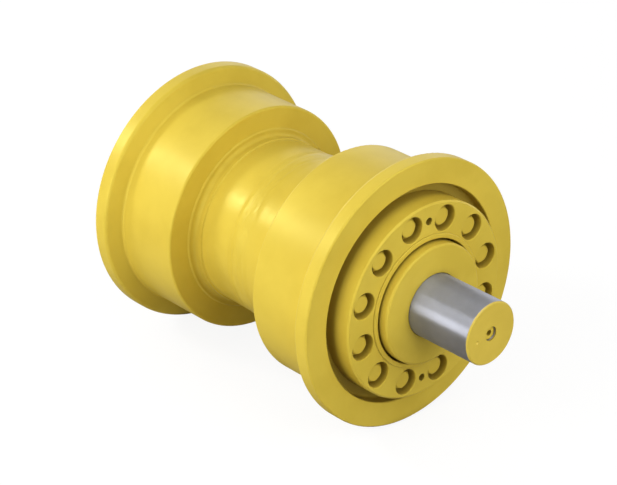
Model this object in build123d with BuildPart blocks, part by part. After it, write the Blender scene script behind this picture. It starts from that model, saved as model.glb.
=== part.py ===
"""Track roller for a crawler excavator undercarriage.

A double-flange roller turns on a fixed shaft. Both ends are alike, so every end piece is drawn once, at the
front end (-Y), and mirrored to the rear end (+Y). The origin is the centre of the roller, on the shaft's
axis, which runs along Y. +Z is up. All sizes are in millimetres.

Profiles are drawn on the plane `section`, whose first coordinate is the radius and whose second one is the
distance out from the centre of the roller towards the front end, and are revolved about the shaft's axis.
"""
from build123d import *
import os

os.makedirs("parts", exist_ok=True)

# ---- driving dimensions --------------------------------------------------------------------------------
# Roller shell
flange_radius = 150.0
tread_radius = 130.0
hub_radius = 95.9
shell_half_width = 172.4
flange_rim_width = 18.0
flange_root = 148.5
tread_inner_edge = 67.5

# Bolted end cover
cover_radius = 110.0
cover_face = 191.2
cover_seat = 148.0
cover_bore_radius = 69.2
carrier_radius = 75.0
carrier_nose = 62.0

# Cover bolts (M12, hexagon head) and the two M10 jacking holes that sit between them
bolt_circle_radius = 91.1
bolt_count = 12
bolt_radius = 6.0
bolt_length = 60.0
head_across_flats = 19.0
head_height = 7.5
head_below_face = 5.3
counterbore_radius = 14.4
jack_hole_radius = 4.25
jack_hole_angle = 88.6          # degrees from +X towards +Z

# Shaft
stub_radius = 35.0
seat_radius = 44.0
journal_radius = 50.0
shoulder_radius = 63.0
shaft_half_length = 284.5

# Collar, fixed to the shaft
collar_radius = 67.2
collar_face = 202.7
collar_inner_end = 166.5
collar_shoulder = 194.0         # step in the shaft that the collar stops against

# Floating face seal: two lapped rings, each carried by a rubber toric ring in a conical pocket
seal_plane = 163.5
seal_ring_bore = 48.5
seal_face_radius = 59.5
seal_ring_depth = 14.5
toric_radius = 57.75
toric_section = 3.3
seal_pocket_mouth_radius = 62.6
seal_pocket_floor_radius = 60.2
seal_pocket_floor = 16.0        # distance of the pocket's floor behind the seal plane
seal_pocket_band = 2.0          # the pocket is cylindrical this far up from its floor

# Clearances
fit_clearance = 0.05            # radial, turning and locating fits
thrust_clearance = 0.25
seal_film = 0.03                # each lapped face stands this far off the seal plane

# ---- derived sizes -------------------------------------------------------------------------------------
flange_inner_edge = shell_half_width - flange_rim_width
recess_radius = cover_radius + 11.7
recess_floor = shell_half_width - 14.0
cavity_radius = shoulder_radius + 6.0
cavity_end = carrier_nose - 5.0
bolt_seat = cover_face - head_below_face - head_height
bolt_tip = bolt_seat - bolt_length
bolt_pitch = 360 / bolt_count
bolt_start_angle = jack_hole_angle - bolt_pitch / 2
thrust_flange = 6.0
thrust_face = carrier_nose - thrust_flange
shoulder_end = thrust_face - thrust_clearance
bushing_radius = journal_radius + 7.0
bushing_end = 138.0
journal_end = 146.0
oil_gallery_radius = 6.0
dowel_radius = 3.0
dowel_circle_radius = (seat_radius + stub_radius) / 2
plug_radius = 8.0
plug_depth = 14.0

section = Plane(origin=(0, 0, 0), x_dir=(1, 0, 0), z_dir=(0, 0, -1))


def across(distance_out):
    """The plane square to the shaft at this distance out, facing out of the front end."""
    return Plane.XZ.offset(distance_out)


def corner(sketch, radius, distance_out):
    """The corner of a section sketch that is nearest to this radius and distance out."""
    return sketch.vertices().sort_by_distance((radius, distance_out))[0]


def o_ring(mean_radius, cord_radius, distance_out):
    """A rubber ring of round cord, lying square to the shaft."""
    with BuildPart() as ring:
        with BuildSketch(section):
            with Locations((mean_radius, distance_out)):
                Circle(cord_radius)
        revolve(axis=Axis.Y)
    return ring


def seal_ring(side):
    """One lapped ring of the face seal; side is +1 outboard of the seal plane and -1 inboard of it."""
    face_band = 4.0
    rim = 3.5
    neck = 4.5
    back = 5.5
    back_lip = 1.0
    profile = [
        (seal_face_radius, seal_film),
        (seal_face_radius, rim),
        (seal_face_radius - face_band, rim + back_lip),
        (seal_ring_bore + neck, seal_ring_depth - 2 * back_lip),
        (seal_ring_bore + back, seal_ring_depth - back_lip),
        (seal_ring_bore + back, seal_ring_depth),
        (seal_ring_bore, seal_ring_depth),
        (seal_ring_bore, seal_film + back_lip),
        (seal_face_radius - face_band, seal_film),
    ]
    with BuildPart() as ring:
        with BuildSketch(section):
            with BuildLine():
                Polyline([(radius, seal_plane + side * behind) for radius, behind in profile], close=True)
            make_face()
        revolve(axis=Axis.Y)
    return ring


# ---- roller shell --------------------------------------------------------------------------------------
hub_crown = 0.9                 # the hub is this much thinner beside its end bands than at its middle
band_radius = 96.6              # a raised band at each end of the hub
band_edge = 55.0
band_step_width = 1.0
hub_fillet = 4.5
hub_toe_radius = 105.2          # the forged hub ends here, a little proud of the turned face beside it
hub_toe_height = 1.5
hub_end = tread_inner_edge - hub_toe_height
tread_edge_round = 2.5
flange_root_fillet = 3.0
flange_edge_round = 4.5
recess_fillet = 2.5
outer_edge_chamfer = 1.2
recess_edge_chamfer = 0.8
bead_half_width = 11.0
bead_height = 0.9
bead_foot = 0.3
tapped_end = bolt_tip - 4.0

with BuildPart() as roller_shell:
    with BuildSketch(section) as half_shell:
        with BuildLine():
            hub = TangentArc((hub_radius, 0), (hub_radius - hub_crown, band_edge), tangent=(0, 1))
            Polyline(
                hub @ 1,
                (band_radius, band_edge + band_step_width),
                (band_radius, hub_end),
                (hub_toe_radius - hub_toe_height, hub_end),
                (hub_toe_radius, tread_inner_edge),
                (tread_radius, tread_inner_edge),
                (tread_radius, flange_root),
                (flange_radius, flange_inner_edge),
                (flange_radius, shell_half_width),
                (recess_radius, shell_half_width),
                (recess_radius, recess_floor),
                (cover_radius + fit_clearance, recess_floor),
                (cover_radius + fit_clearance, cover_seat),
                (carrier_radius + fit_clearance, cover_seat),
                (carrier_radius + fit_clearance, cavity_end),
                (cavity_radius, cavity_end),
                (cavity_radius, 0),
                (hub_radius, 0),
            )
        make_face()
        fillet(corner(half_shell, band_radius, hub_end), hub_fillet)
        fillet(corner(half_shell, tread_radius, tread_inner_edge), tread_edge_round)
        fillet(corner(half_shell, tread_radius, flange_root), flange_root_fillet)
        fillet(corner(half_shell, flange_radius, flange_inner_edge), flange_edge_round)
        fillet(corner(half_shell, recess_radius, recess_floor), recess_fillet)
        chamfer(corner(half_shell, flange_radius, shell_half_width), outer_edge_chamfer)
        chamfer(corner(half_shell, recess_radius, shell_half_width), recess_edge_chamfer)
        mirror(about=Plane.XZ)
    revolve(axis=Axis.Y)
    # the low weld bead round the middle of the hub, where the two halves of the shell are joined
    with BuildSketch(section):
        with BuildLine():
            crown = ThreePointArc(
                (hub_radius - bead_foot, -bead_half_width),
                (hub_radius + bead_height, 0),
                (hub_radius - bead_foot, bead_half_width),
            )
            Polyline(
                crown @ 0,
                (hub_radius - bead_height, -bead_half_width),
                (hub_radius - bead_height, bead_half_width),
                crown @ 1,
            )
        make_face()
    revolve(axis=Axis.Y)
    # tapped holes for the cover bolts, in the cover seats at both ends
    with BuildSketch(across(cover_seat)) as tapped_holes:
        with PolarLocations(bolt_circle_radius, bolt_count, start_angle=bolt_start_angle):
            Circle(bolt_radius)
    tapped = extrude(amount=-(cover_seat - tapped_end), mode=Mode.SUBTRACT)
    mirror(tapped, about=Plane.XZ, mode=Mode.SUBTRACT)

# ---- end cover -----------------------------------------------------------------------------------------
lip_radius = 74.8
lip_height = 1.8
lip_edge_chamfer = 0.8
counterbore_edge_chamfer = 0.6
cover_edge_chamfer = 1.8
carrier_nose_chamfer = 2.5
cover_step = seal_plane - 0.5
bolt_clearance_radius = 6.75
cover_shaft_gap = 1.0
cover_groove_start = 139.5
cover_groove_end = 144.7
cover_ring_cord = 2.15
cover_ring_radius = carrier_radius - cover_ring_cord
cover_groove_radius = carrier_radius - 2 * cover_ring_cord - fit_clearance

with BuildPart() as end_cover:
    with BuildSketch(section) as cover_section:
        with BuildLine():
            Polyline(
                (bushing_radius, carrier_nose),
                (carrier_radius, carrier_nose),
                (carrier_radius, cover_groove_start),
                (cover_groove_radius, cover_groove_start),
                (cover_groove_radius, cover_groove_end),
                (carrier_radius, cover_groove_end),
                (carrier_radius, cover_seat),
                (cover_radius, cover_seat),
                (cover_radius, cover_face),
                (lip_radius, cover_face),
                (lip_radius, cover_face + lip_height),
                (cover_bore_radius, cover_face + lip_height),
                (cover_bore_radius, cover_step),
                (seal_pocket_mouth_radius, cover_step),
                (seal_pocket_floor_radius, seal_plane - seal_pocket_floor + seal_pocket_band),
                (seal_pocket_floor_radius, seal_plane - seal_pocket_floor),
                (journal_radius + cover_shaft_gap, seal_plane - seal_pocket_floor),
                (journal_radius + cover_shaft_gap, bushing_end),
                (bushing_radius, bushing_end),
                close=True,
            )
        make_face()
        chamfer(corner(cover_section, cover_radius, cover_face), cover_edge_chamfer)
        chamfer(corner(cover_section, carrier_radius, carrier_nose), carrier_nose_chamfer)
        chamfer(corner(cover_section, lip_radius, cover_face + lip_height), lip_edge_chamfer)
        chamfer(corner(cover_section, cover_bore_radius, cover_face + lip_height), lip_edge_chamfer)
    revolve(axis=Axis.Y)
    with Locations(across(cover_face)):
        with PolarLocations(bolt_circle_radius, bolt_count, start_angle=bolt_start_angle):
            CounterBoreHole(bolt_clearance_radius, counterbore_radius, cover_face - bolt_seat)
        with PolarLocations(bolt_circle_radius, 2, start_angle=jack_hole_angle):
            Hole(jack_hole_radius)
    mouths = end_cover.faces().filter_by(Axis.Y).group_by(Axis.Y)[1].edges()
    counterbore_mouths = mouths.filter_by(lambda edge: abs(edge.radius - counterbore_radius) < fit_clearance)
    chamfer(counterbore_mouths, counterbore_edge_chamfer)

# ---- cover bolts ---------------------------------------------------------------------------------------
head_corner_radius = head_across_flats / 3 ** 0.5
head_top_radius = 0.46 * head_across_flats
head_chamfer_height = 1.3
shank_chamfer = 1.0
wrench_turn = 23.0              # each head stops at a different angle, this much past the one before it

# one bolt, standing on the underside of its head
with BuildPart() as cover_bolt:
    with BuildSketch():
        RegularPolygon(head_across_flats / 2, 6, major_radius=False)
    extrude(amount=head_height)
    # the blank is turned, so the corners of the hexagon are chamfered
    with BuildSketch(Plane.XZ):
        with BuildLine():
            Polyline(
                (0, 0),
                (head_corner_radius, 0),
                (head_corner_radius, head_height - head_chamfer_height),
                (head_top_radius, head_height),
                (0, head_height),
                close=True,
            )
        make_face()
    revolve(axis=Axis.Z, mode=Mode.INTERSECT)
    with BuildSketch():
        Circle(bolt_radius - fit_clearance)
    extrude(amount=-bolt_length)
    chamfer(cover_bolt.edges().group_by(Axis.Z)[0], shank_chamfer)

with BuildPart() as cover_bolts:
    with Locations(across(bolt_seat)):
        for bolt in range(bolt_count):
            with PolarLocations(bolt_circle_radius, 1, start_angle=bolt_start_angle + bolt * bolt_pitch):
                add(cover_bolt.part, rotation=(0, 0, bolt * wrench_turn))

# ---- bushing -------------------------------------------------------------------------------------------
thrust_flange_radius = shoulder_radius + 4.0
bushing_groove_radius = 2.5
bushing_chamfer = 1.0

with BuildPart() as bushing:
    with BuildSketch(section) as bushing_section:
        with BuildLine():
            Polyline(
                (journal_radius + fit_clearance, thrust_face),
                (thrust_flange_radius, thrust_face),
                (thrust_flange_radius, carrier_nose),
                (bushing_radius, carrier_nose),
                (bushing_radius, bushing_end),
                (journal_radius + fit_clearance, bushing_end),
                close=True,
            )
        make_face()
        chamfer(corner(bushing_section, journal_radius, thrust_face), bushing_chamfer)
        chamfer(corner(bushing_section, journal_radius, bushing_end), bushing_chamfer)
    revolve(axis=Axis.Y)
    # oil grooves along the bore, on either side
    with BuildSketch(across(thrust_face)):
        with PolarLocations(journal_radius, 2):
            Circle(bushing_groove_radius)
    extrude(amount=bushing_end - thrust_face, mode=Mode.SUBTRACT)

# ---- shaft ---------------------------------------------------------------------------------------------
stub_chamfer = 1.5
stub_relief_radius = 34.5       # the stub is relieved where the collar sits round it
journal_chamfer = 2.0
shaft_groove_start = 180.3
shaft_groove_end = 185.4
collar_ring_cord = 2.1
collar_ring_radius = seat_radius - collar_ring_cord
shaft_groove_radius = seat_radius - 2 * collar_ring_cord - fit_clearance
dowel_depth_in_shaft = 7.5
dowel_depth_in_collar = 5.5
gallery_end = 100.0             # beyond the centre, towards the rear end
cross_hole_radius = 3.5
centre_drill_radius = 2.5
punch_mark_radius = 3.2
punch_mark_depth = 1.0
punch_mark_place = (-20.0, -2.7)

with BuildPart() as shaft:
    with BuildSketch(section) as half_shaft:
        with BuildLine():
            Polyline(
                (0, 0),
                (shoulder_radius, 0),
                (shoulder_radius, shoulder_end),
                (journal_radius, shoulder_end),
                (journal_radius, journal_end),
                (seat_radius, journal_end),
                (seat_radius, shaft_groove_start),
                (shaft_groove_radius, shaft_groove_start),
                (shaft_groove_radius, shaft_groove_end),
                (seat_radius, shaft_groove_end),
                (seat_radius, collar_shoulder),
                (stub_relief_radius, collar_shoulder),
                (stub_relief_radius, collar_face),
                (stub_radius, collar_face),
                (stub_radius, shaft_half_length),
                (0, shaft_half_length),
                close=True,
            )
        make_face()
        chamfer(corner(half_shaft, shoulder_radius, shoulder_end), journal_chamfer)
        chamfer(corner(half_shaft, journal_radius, journal_end), journal_chamfer)
        chamfer(corner(half_shaft, stub_radius, shaft_half_length), stub_chamfer)
        mirror(about=Plane.XZ)
    revolve(axis=Axis.Y)
    # tapped hole for the filler plug, and the oil gallery behind it
    with Locations(across(shaft_half_length)):
        CounterBoreHole(oil_gallery_radius, plug_radius, plug_depth, shaft_half_length + gallery_end)
    # cross holes from the gallery to the reservoir in the shell and to both journals
    with BuildSketch(Plane.XY):
        with GridLocations(0, gallery_end, 1, 3):
            Circle(cross_hole_radius)
    extrude(amount=shoulder_radius, both=True, mode=Mode.SUBTRACT)
    # lathe centre in the rear end
    with Locations(Plane.ZX.offset(shaft_half_length)):
        CounterSinkHole(centre_drill_radius, 2 * centre_drill_radius, 4 * centre_drill_radius, 60)
    # a punch mark beside the filler plug
    with Locations(across(shaft_half_length + punch_mark_radius - punch_mark_depth)):
        with Locations(punch_mark_place):
            Sphere(punch_mark_radius, mode=Mode.SUBTRACT)
    # blind holes for the collar dowels
    with BuildSketch(across(collar_shoulder)):
        with Locations((0, -dowel_circle_radius)):
            Circle(dowel_radius)
    dowel_hole = extrude(amount=-dowel_depth_in_shaft, mode=Mode.SUBTRACT)
    mirror(dowel_hole, about=Plane.XZ, mode=Mode.SUBTRACT)

# ---- oil plug ------------------------------------------------------------------------------------------
plug_below_face = 2.8
plug_socket_flats = 6.0
plug_socket_depth = 7.0
plug_chamfer = 0.8

with BuildPart() as oil_plug:
    with BuildSketch(across(shaft_half_length - plug_depth)):
        Circle(plug_radius - fit_clearance)
    extrude(amount=plug_depth - plug_below_face)
    chamfer(oil_plug.edges(), plug_chamfer)
    with BuildSketch(across(shaft_half_length - plug_below_face)):
        RegularPolygon(plug_socket_flats / 2, 6, major_radius=False)
    extrude(amount=-plug_socket_depth, mode=Mode.SUBTRACT)

# ---- collar --------------------------------------------------------------------------------------------
collar_edge_round = 2.8
collar_bore_clearance = 0.2
collar_bore_chamfer = 0.4
collar_inner_chamfer = 1.0

with BuildPart() as collar:
    with BuildSketch(section) as collar_section:
        with BuildLine():
            Polyline(
                (seat_radius, seal_plane + seal_pocket_floor),
                (seat_radius, collar_shoulder),
                (stub_radius + collar_bore_clearance, collar_shoulder),
                (stub_radius + collar_bore_clearance, collar_face),
                (collar_radius, collar_face),
                (collar_radius, collar_inner_end),
                (seal_pocket_mouth_radius, collar_inner_end),
                (seal_pocket_floor_radius, seal_plane + seal_pocket_floor - seal_pocket_band),
                (seal_pocket_floor_radius, seal_plane + seal_pocket_floor),
                close=True,
            )
        make_face()
        fillet(corner(collar_section, collar_radius, collar_face), collar_edge_round)
        chamfer(corner(collar_section, stub_radius, collar_face), collar_bore_chamfer)
        chamfer(corner(collar_section, collar_radius, collar_inner_end), collar_inner_chamfer)
    revolve(axis=Axis.Y)
    with BuildSketch(across(collar_shoulder)):
        with Locations((0, -dowel_circle_radius)):
            Circle(dowel_radius)
    extrude(amount=dowel_depth_in_collar, mode=Mode.SUBTRACT)

# ---- collar dowel --------------------------------------------------------------------------------------
dowel_end_gap = 0.5
dowel_chamfer = 0.5

with BuildPart() as collar_dowel:
    with BuildSketch(across(collar_shoulder - dowel_depth_in_shaft + dowel_end_gap)):
        with Locations((0, -dowel_circle_radius)):
            Circle(dowel_radius)
    extrude(amount=dowel_depth_in_shaft + dowel_depth_in_collar - 2 * dowel_end_gap)
    chamfer(collar_dowel.edges(), dowel_chamfer)

# ---- seals ---------------------------------------------------------------------------------------------
toric_behind_plane = 8.5
cover_groove_middle = (cover_groove_start + cover_groove_end) / 2
shaft_groove_middle = (shaft_groove_start + shaft_groove_end) / 2

turning_seal_ring = seal_ring(-1)
fixed_seal_ring = seal_ring(1)
turning_toric = o_ring(toric_radius, toric_section, seal_plane - toric_behind_plane)
fixed_toric = o_ring(toric_radius, toric_section, seal_plane + toric_behind_plane)
cover_o_ring = o_ring(cover_ring_radius, cover_ring_cord, cover_groove_middle)
collar_o_ring = o_ring(collar_ring_radius, collar_ring_cord, shaft_groove_middle)

# ---- write every piece ---------------------------------------------------------------------------------
roller_shell.part.label = "roller_shell"
export_step(roller_shell.part, "parts/roller_shell.step")
shaft.part.label = "shaft"
export_step(shaft.part, "parts/shaft.step")
oil_plug.part.label = "oil_plug"
export_step(oil_plug.part, "parts/oil_plug.step")

end_pieces = {
    "end_cover": end_cover,
    "cover_bolts": cover_bolts,
    "bushing": bushing,
    "collar": collar,
    "collar_dowel": collar_dowel,
    "turning_seal_ring": turning_seal_ring,
    "fixed_seal_ring": fixed_seal_ring,
    "turning_toric": turning_toric,
    "fixed_toric": fixed_toric,
    "cover_o_ring": cover_o_ring,
    "collar_o_ring": collar_o_ring,
}
for name, front in end_pieces.items():
    with BuildPart() as rear:
        mirror(front.part, about=Plane.XZ)
    front.part.label = f"front_{name}"
    export_step(front.part, f"parts/front_{name}.step")
    rear.part.label = f"rear_{name}"
    export_step(rear.part, f"parts/rear_{name}.step")
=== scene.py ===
"""Looks of the track roller: paint, steel and seal materials, studio light and the camera.

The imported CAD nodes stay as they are; every one gets a procedural material. Lengths are in metres, in the
row frame: the shaft lies along Y, the front end is at -Y and +Z is up.
"""
import math

import bpy
from mathutils import Matrix, Vector


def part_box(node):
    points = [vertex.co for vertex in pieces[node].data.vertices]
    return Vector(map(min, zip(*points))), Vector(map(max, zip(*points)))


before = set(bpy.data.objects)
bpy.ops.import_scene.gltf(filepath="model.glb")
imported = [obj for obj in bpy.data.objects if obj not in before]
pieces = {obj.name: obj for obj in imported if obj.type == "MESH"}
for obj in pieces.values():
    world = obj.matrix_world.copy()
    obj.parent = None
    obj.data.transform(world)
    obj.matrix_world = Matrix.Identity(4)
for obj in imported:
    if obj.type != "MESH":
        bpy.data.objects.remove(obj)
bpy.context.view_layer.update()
MM = 0.001


# ---- sizes read from the frame -------------------------------------------------------------------------
def reach(piece, axis):
    """How far a piece's box reaches from the origin along one axis."""
    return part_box(piece)[1][axis]


X, Y = 0, 1
flange_radius = reach("roller_shell", X)
shell_half_width = reach("roller_shell", Y)
shaft_half_length = reach("shaft", Y)

# The surface of the hub ends between these two radii, on the inner faces of the treads.
hub_skin_radius = 100 * MM
tread_skin_radius = 108 * MM
# The ripples of the weld run round the hub, a little in front of its middle, and fade out to both sides.
weld_middle = -3 * MM
weld_half_width = 6 * MM
weld_fade_end = 17 * MM
# The paint on the ends of the shaft thins out between these distances from the end face.
end_paint_solid = 0.7 * MM
end_paint_gone = 1.3 * MM


# ---- small helpers for node trees ----------------------------------------------------------------------
class Tree:
    """A material's node tree, with one short call for each kind of node the materials use."""

    def __init__(self, name):
        self.material = bpy.data.materials.new(name)
        self.material.use_nodes = True
        self.nodes = self.material.node_tree.nodes
        self.links = self.material.node_tree.links
        self.shader = self.nodes["Principled BSDF"]
        self.place = self.add("ShaderNodeTexCoord").outputs["Object"]

    def add(self, kind, inputs=None, **settings):
        """A new node; inputs maps a socket's name or number to a value or to another node's output."""
        made = self.nodes.new(kind)
        for key, value in settings.items():
            setattr(made, key, value)
        for key, value in (inputs or {}).items():
            self.put(made.inputs[key], value)
        return made

    def put(self, socket, value):
        if isinstance(value, bpy.types.NodeSocket):
            self.links.new(value, socket)
        else:
            socket.default_value = value

    def set(self, **values):
        """Sets sockets of the shader; a socket's name is written with underscores for its spaces."""
        for key, value in values.items():
            self.put(self.shader.inputs[key.replace("_", " ")], value)

    def math(self, operation, a, b=0.0, clamp=False):
        return self.add("ShaderNodeMath", {0: a, 1: b}, operation=operation, use_clamp=clamp).outputs[0]

    def noise(self, scale, detail=3.0, roughness=0.5, place=None):
        made = self.add("ShaderNodeTexNoise", {"Vector": place or self.place, "Scale": scale,
                                               "Detail": detail, "Roughness": roughness})
        return made.outputs["Fac"]

    def stretch(self, x, y, z):
        """The object's coordinates, scaled along each axis."""
        made = self.add("ShaderNodeVectorMath", {0: self.place, 1: (x, y, z)}, operation="MULTIPLY")
        return made.outputs[0]

    def rings(self, around, along, detail, roughness=0.5):
        """Noise drawn out round the shaft; around and along say how often it changes per metre."""
        return self.noise(1, detail, roughness, self.stretch(around, along, around))

    def span(self, value, low, high, to_low=0.0, to_high=1.0):
        """value, mapped smoothly from low..high to to_low..to_high."""
        made = self.add("ShaderNodeMapRange", {"Value": value, "From Min": low, "From Max": high,
                                               "To Min": to_low, "To Max": to_high},
                        interpolation_type="SMOOTHSTEP")
        return made.outputs["Result"]

    def mix(self, factor, a, b):
        """A colour between a and b."""
        return self.add("ShaderNodeMix", {0: factor, 6: a, 7: b}, data_type="RGBA").outputs[2]

    def blend(self, factor, a, b):
        """A number between a and b."""
        return self.add("ShaderNodeMix", {0: factor, 2: a, 3: b}).outputs[0]

    def bump(self, height, distance, strength=1.0, normal=None):
        made = self.add("ShaderNodeBump", {"Height": height, "Distance": distance, "Strength": strength})
        if normal is not None:
            self.put(made.inputs["Normal"], normal)
        return made.outputs["Normal"]

    def axial(self, middle=0.0):
        """Distance along the shaft from a plane across it."""
        y = self.add("ShaderNodeSeparateXYZ", {0: self.place}).outputs["Y"]
        return self.math("ABSOLUTE", self.math("SUBTRACT", y, middle))

    def radial(self):
        """Distance from the shaft's axis."""
        flat = self.stretch(1, 0, 1)
        return self.add("ShaderNodeVectorMath", {0: flat}, operation="LENGTH").outputs["Value"]


def paint_colour(tree):
    """Machine yellow, a little uneven, with painted shade: darker and browner in corners, holes and recesses
    that an ambient-occlusion node finds sheltered.
    """
    full = (0.757, 0.567, 0.070, 1)
    thin = (0.685, 0.502, 0.056, 1)
    painted_shade = (0.37, 0.255, 0.032, 1)
    colour = tree.mix(tree.span(tree.noise(14, 7, 0.55), 0.35, 0.7), full, thin)
    # Painted shade: the colour turns to a dark brown where ambient occlusion finds nearby surfaces, in
    # corners, recesses and holes.
    shade_mask = tree.add("ShaderNodeAmbientOcclusion", {"Distance": 0.022}, samples=24).outputs["AO"]
    return tree.mix(tree.span(shade_mask, 0.80, 0.25), colour, painted_shade)


def paint_normal(tree, hub=False):
    """Orange peel on rounded edges. The hub is left as forged under the paint, with a weld round it."""
    edges = tree.add("ShaderNodeBevel", {"Radius": 0.8 * MM}, samples=4).outputs["Normal"]
    peel = tree.bump(tree.noise(240, 2), 0.02 * MM, 0.3, edges)
    if not hub:
        return peel
    waist = tree.span(tree.radial(), tread_skin_radius, hub_skin_radius)
    forged = tree.math("MULTIPLY", tree.noise(38, 3, 0.55, tree.stretch(1, 0.6, 1)), waist)
    surface = tree.bump(forged, 1.6 * MM, 0.4, peel)
    turned = tree.math("MULTIPLY", tree.rings(6, 420, 2), waist)
    lines = tree.bump(turned, 0.35 * MM, 0.3, surface)
    weld = tree.math("MULTIPLY", tree.span(tree.axial(weld_middle), weld_fade_end, weld_half_width), waist)
    ripples = tree.math("MULTIPLY", tree.rings(30, 150, 3, 0.55), weld)
    return tree.bump(ripples, 2.2 * MM, 0.8, lines)


def paint(name, hub=False):
    """Glossy enamel; on the shell it is a little duller outside the hub."""
    tree = Tree(name)
    rough = tree.span(tree.noise(30, 2), 0.3, 0.7, 0.31, 0.34)
    if hub:
        dulling = tree.span(tree.radial(), hub_skin_radius, tread_skin_radius, 0, 0.07)
        rough = tree.math("ADD", rough, dulling)
    tree.set(Base_Color=paint_colour(tree), Roughness=rough, Normal=paint_normal(tree, hub),
             Specular_IOR_Level=0.5, Specular_Tint=(1.0, 1.0, 0.25, 1))
    return tree


steel_metallic = 0.9
steel_anisotropic = 0.95
smear_shade = 0.86
end_paint_roughness = 0.38


def steel(name, colour, roughness):
    """Turned and ground steel: fine lines run round the shaft and spread its highlights along it."""
    tree = Tree(name)
    rings = tree.rings(4, 2600, 4, 0.6)
    smears = tree.span(tree.noise(30, 5, 0.6), 0.35, 0.75)
    dull = tuple(smear_shade * c for c in colour[:3]) + (1,)
    tree.set(Base_Color=tree.mix(smears, colour, dull), Metallic=steel_metallic,
             Normal=tree.bump(rings, 0.01 * MM, 0.3),
             Roughness=tree.span(rings, 0.3, 0.7, roughness, roughness + 0.05),
             Anisotropic=steel_anisotropic, Anisotropic_Rotation=0.25,
             Tangent=tree.add("ShaderNodeTangent", direction_type="RADIAL", axis="Y").outputs[0])
    return tree


def shaft_steel():
    """Bare ground stubs; their end faces and chamfers were painted along with the roller."""
    tree = steel("shaft_steel", (0.46, 0.48, 0.56, 1), 0.42)
    bare = {key: tree.shader.inputs[key].links[0].from_socket for key in ("Base Color", "Roughness")}
    ragged = tree.math("MULTIPLY", tree.noise(300, 3), 0.8 * MM)
    painted = tree.span(tree.math("ADD", tree.axial(), ragged), shaft_half_length - end_paint_gone,
                        shaft_half_length - end_paint_solid)
    tree.set(Base_Color=tree.mix(painted, bare["Base Color"], paint_colour(tree)),
             Metallic=tree.span(painted, 0, 1, steel_metallic, 0),
             Anisotropic=tree.span(painted, 0, 1, steel_anisotropic, 0))
    tree.set(Roughness=tree.blend(painted, bare["Roughness"], end_paint_roughness))
    return tree


def iron(name):
    """Hard cast iron of the seal rings, grey and fine-grained."""
    tree = Tree(name)
    grain = tree.noise(420, 6, 0.65)
    dark = (0.20, 0.20, 0.21, 1)
    pale = (0.34, 0.33, 0.33, 1)
    tree.set(Base_Color=tree.mix(tree.span(grain, 0.35, 0.7), dark, pale), Metallic=0.9,
             Roughness=tree.span(grain, 0.3, 0.7, 0.32, 0.5), Normal=tree.bump(grain, 0.03 * MM))
    return tree


def bronze(name):
    """Turned bearing bronze, patchy where it has tarnished."""
    tree = Tree(name)
    rings = tree.rings(5, 1500, 3)
    bright = (0.62, 0.38, 0.15, 1)
    tarnished = (0.48, 0.27, 0.10, 1)
    tree.set(Base_Color=tree.mix(tree.span(tree.noise(70, 5), 0.3, 0.7), bright, tarnished), Metallic=1.0,
             Roughness=tree.span(rings, 0.3, 0.7, 0.25, 0.42), Normal=tree.bump(rings, 0.03 * MM))
    return tree


def rubber(name):
    """Black rubber with a pale bloom."""
    tree = Tree(name)
    skin = tree.noise(900, 3)
    bloom = tree.span(tree.noise(80, 4), 0.4, 0.75)
    black = (0.012, 0.012, 0.012, 1)
    bloomed = (0.035, 0.034, 0.032, 1)
    tree.set(Base_Color=tree.mix(bloom, black, bloomed),
             Roughness=tree.span(bloom, 0, 1, 0.5, 0.75), Normal=tree.bump(skin, 0.04 * MM))
    return tree


def dress():
    """Gives every CAD node its material."""
    shell_paint, part_paint = paint("shell_paint", hub=True), paint("part_paint")
    finishes = {
        "roller_shell": shell_paint,
        "shaft": shaft_steel(),
        "oil_plug": part_paint,
        "end_cover": part_paint,
        "cover_bolts": part_paint,
        "collar": part_paint,
        "collar_dowel": steel("dowel_steel", (0.40, 0.40, 0.42, 1), 0.2),
        "bushing": bronze("bearing_bronze"),
        "seal_ring": iron("seal_iron"),
        "toric": rubber("seal_rubber"),
        "o_ring": rubber("ring_rubber"),
    }
    for name, piece in pieces.items():
        kind = max((key for key in finishes if name.endswith(key)), key=len)
        piece.data.materials.clear()
        piece.data.materials.append(finishes[kind].material)


# ---- studio --------------------------------------------------------------------------------------------
def seen_directly(nodes):
    """1 where the camera itself sees a surface, 0 where it only lights or shows in another surface."""
    return nodes.new("ShaderNodeLightPath").outputs["Is Camera Ray"]


def floor():
    """A wide floor under the flanges. The camera sees it nearly white; the roller gets little light back."""
    half_side = 12.0
    glow = 0.89
    shown = (0.13, 0.13, 0.13, 1)
    bounced = (0.30, 0.285, 0.26, 1)
    mesh = bpy.data.meshes.new("floor")
    sides = ((-1, -1), (1, -1), (1, 1), (-1, 1))
    corners = [(x * half_side, y * half_side, -flange_radius) for x, y in sides]
    mesh.from_pydata(corners, [], [(0, 1, 2, 3)])
    ground = bpy.data.objects.new("floor", mesh)
    bpy.context.scene.collection.objects.link(ground)
    tree = Tree("floor_white")
    seen = seen_directly(tree.nodes)
    tree.set(Base_Color=tree.mix(seen, bounced, shown), Roughness=0.9, Specular_IOR_Level=0.0,
             Emission_Color=(1, 1, 1, 1), Emission_Strength=tree.math("MULTIPLY", seen, glow))
    mesh.materials.append(tree.material)


def towards(azimuth, elevation):
    """The direction of a viewpoint, in degrees; azimuth 0 is before the front end and -90 to its left."""
    around = math.radians(azimuth)
    above = math.radians(elevation)
    level = math.cos(above)
    return Vector((math.sin(around) * level, -math.cos(around) * level, math.sin(above)))


def softbox(name, azimuth, elevation, size, power, distance=2.4):
    """A square area light that faces the middle of the roller; degrees, metres and watts."""
    away = towards(azimuth, elevation)
    data = bpy.data.lights.new(name, "AREA")
    data.shape = "SQUARE"
    data.size = size
    data.energy = power
    lamp = bpy.data.objects.new(name, data)
    lamp.location = away * distance
    lamp.rotation_euler = away.to_track_quat("Z", "Y").to_euler()
    bpy.context.scene.collection.objects.link(lamp)


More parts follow.
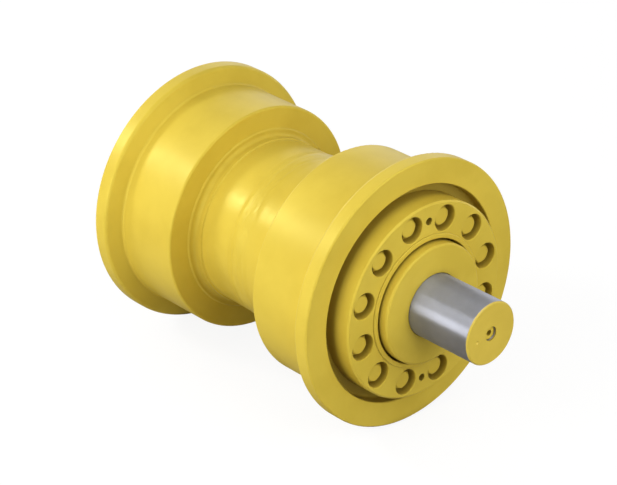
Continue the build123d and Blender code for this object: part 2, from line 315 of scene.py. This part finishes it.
def sky(zenith, horizon):
    """Even studio light, a little brighter overhead. The camera itself sees plain white."""
    world = bpy.data.worlds.new("studio")
    world.use_nodes = True
    nodes, links = world.node_tree.nodes, world.node_tree.links
    height = nodes.new("ShaderNodeSeparateXYZ")
    links.new(nodes.new("ShaderNodeTexCoord").outputs["Generated"], height.inputs[0])
    rise = nodes.new("ShaderNodeMapRange")
    rise.inputs["To Min"].default_value = horizon
    rise.inputs["To Max"].default_value = zenith
    links.new(height.outputs["Z"], rise.inputs["Value"])
    shown = nodes.new("ShaderNodeMix")
    links.new(seen_directly(nodes), shown.inputs[0])
    links.new(rise.outputs[0], shown.inputs[2])
    shown.inputs[3].default_value = 1.0
    links.new(shown.outputs[0], nodes["Background"].inputs["Strength"])
    nodes["Background"].inputs["Color"].default_value = (1, 1, 1, 1)
    bpy.context.scene.world = world


def camera():
    """A long lens, down to the left of the front end; the roller's axis runs away to the upper left."""
    azimuth, elevation, distance = -42.33, 27.33, 2.298
    right_shift, up_shift = -0.1082, 0.0539
    data = bpy.data.cameras.new("camera")
    data.lens = 128.9
    data.sensor_width = 36
    made = bpy.data.objects.new("camera", data)
    right = Vector((math.cos(math.radians(azimuth)), math.sin(math.radians(azimuth)), 0))
    back = towards(azimuth, elevation)
    aim = Vector((0, -shell_half_width, 0)) + right * right_shift + back.cross(right) * up_shift
    made.matrix_world = Matrix.LocRotScale(aim + back * distance, back.to_track_quat("Z", "Y"), None)
    bpy.context.scene.collection.objects.link(made)
    bpy.context.scene.camera = made


# ---- the scene -----------------------------------------------------------------------------------------
dress()
floor()
sky(zenith=0.34, horizon=0.31)
softbox("left_high", azimuth=-90, elevation=34, size=1.7, power=16.5)
softbox("left_near", azimuth=-95, elevation=-2, size=1.1, power=14.5, distance=1.5)
softbox("key", azimuth=-143, elevation=31, size=0.45, power=17.5)
softbox("back", azimuth=180, elevation=10, size=1.7, power=18)
softbox("back_right", azimuth=135, elevation=15, size=1.7, power=8)
softbox("right", azimuth=100, elevation=8, size=1.7, power=9)
softbox("front", azimuth=0, elevation=8, size=1.2, power=7, distance=1.6)
softbox("front_high", azimuth=0, elevation=35, size=1.2, power=7.3, distance=1.6)
softbox("front_right", azimuth=45, elevation=42, size=1.0, power=1.2, distance=1.3)
camera()
bpy.context.scene.view_settings.view_transform = "Standard"
